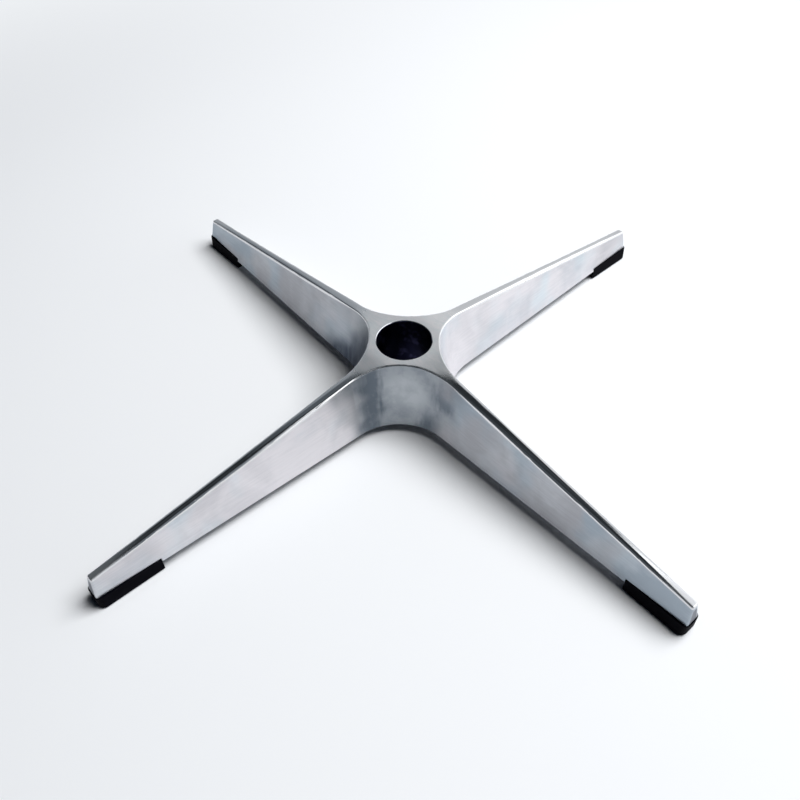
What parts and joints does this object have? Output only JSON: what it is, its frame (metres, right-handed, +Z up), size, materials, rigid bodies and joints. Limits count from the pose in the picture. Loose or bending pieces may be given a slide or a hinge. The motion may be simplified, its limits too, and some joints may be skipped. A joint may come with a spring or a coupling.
{
  "type": "swivel chair base",
  "caption": "Star base for a swivel chair: polished cast arms blending into a flat hub with a tapered column socket, standing on moulded glides.",
  "frame": {"origin": "on the floor, under the axis of the column socket", "axes": "+Z up along the column socket; the arms lie along +X, -X, +Y and -Y"},
  "size_m": [0.652, 0.652, 0.075],
  "materials": {
    "polished_casting": "polished die casting, flat satin-ground face round the socket",
    "glide_plastic": "moulded black, fine satin",
    "screw_steel": "zinc-plated self-tapping screws"
  },
  "bodies": {
    "root": {"base_casting": "polished_casting", "right_glide": "glide_plastic", "back_glide": "glide_plastic", "left_glide": "glide_plastic", "front_glide": "glide_plastic", "glide_screws": "screw_steel"}
  },
  "joints": []
}
